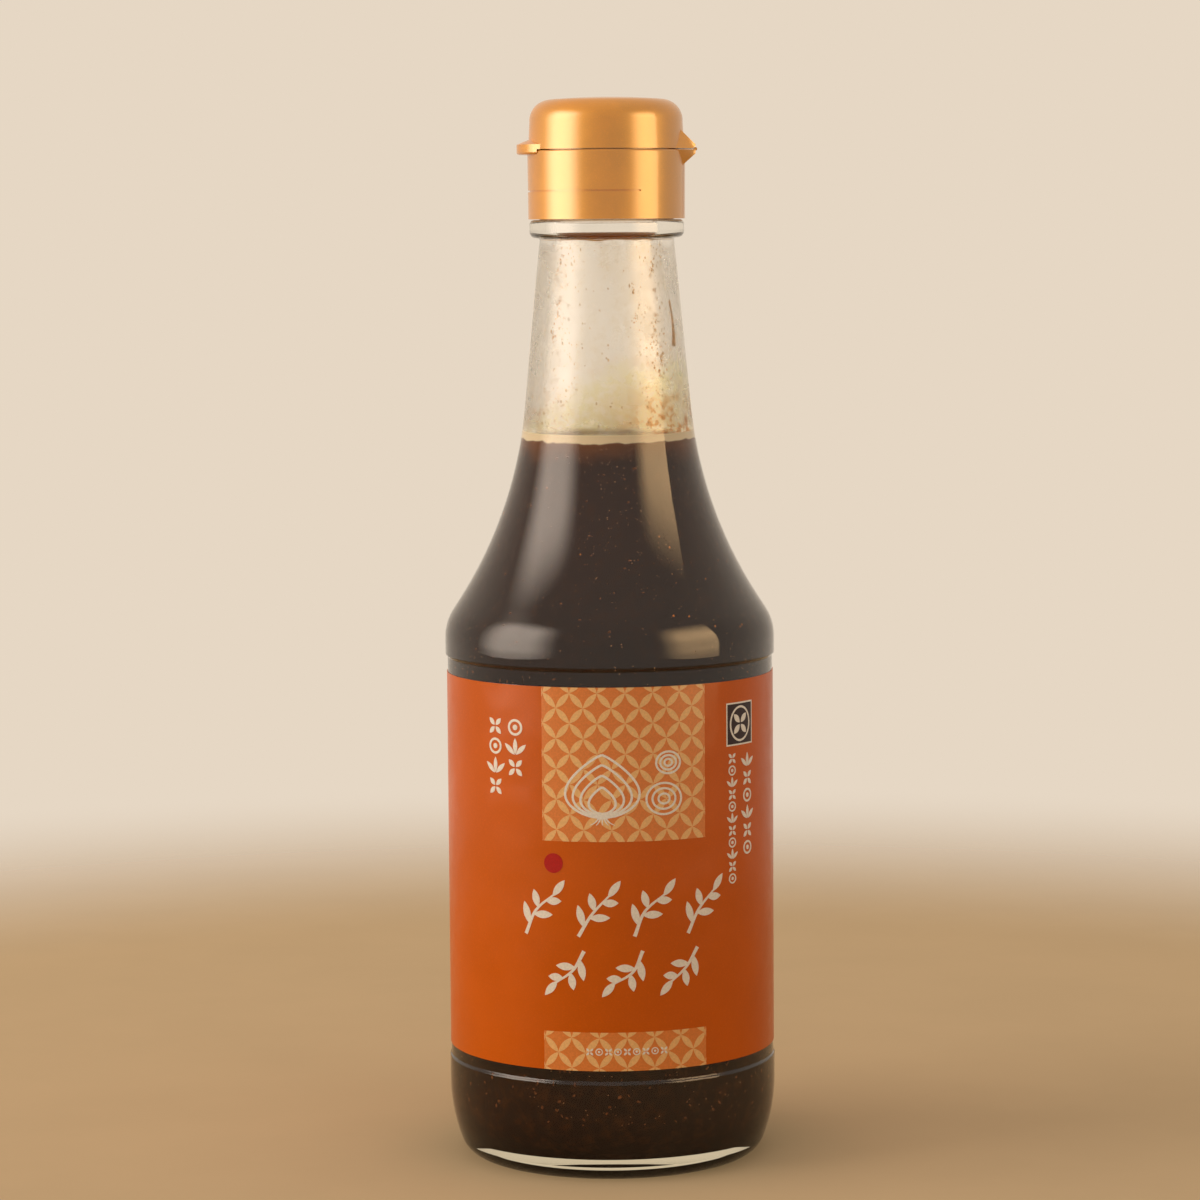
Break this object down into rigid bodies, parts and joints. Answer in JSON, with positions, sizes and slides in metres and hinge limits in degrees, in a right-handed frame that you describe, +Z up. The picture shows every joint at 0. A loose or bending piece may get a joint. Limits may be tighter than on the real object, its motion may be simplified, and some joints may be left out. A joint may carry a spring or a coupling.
{
  "type": "onion sauce bottle",
  "caption": "Clear glass sauce bottle with long tapered neck, wrap-round orange paper label, dark onion sauce up to the shoulder and a gold press-on cap with a hinged flip-top lid.",
  "frame": {"origin": "centre of the base, on the plane that the bottle stands on", "axes": "+Z up along the bottle; the label's front faces -Y; the lid's hinge lies on +X and its thumb tab on -X"},
  "size_m": [0.0668, 0.0668, 0.2144],
  "materials": {
    "glass": "clear soda-lime glass, faintly green in its thick base",
    "sauce": "dark brown sauce seen through glass",
    "label_paper": "coated orange paper with a light printed pattern",
    "gold_collar": "glossy gold moulded plastic",
    "gold_lid": "satin gold moulded plastic"
  },
  "bodies": {
    "bottle": {"bottle": "glass", "sauce": "sauce", "label": "label_paper", "collar": "gold_collar"},
    "lid": {"lid": "gold_lid"}
  },
  "joints": [
    {"name": "lid_hinge", "type": "hinge", "parent": "bottle", "child": "lid", "pos_m": [0.01785, 0, 0.2039], "axis": [0, 1, 0], "range_deg": [0, 165]}
  ]
}
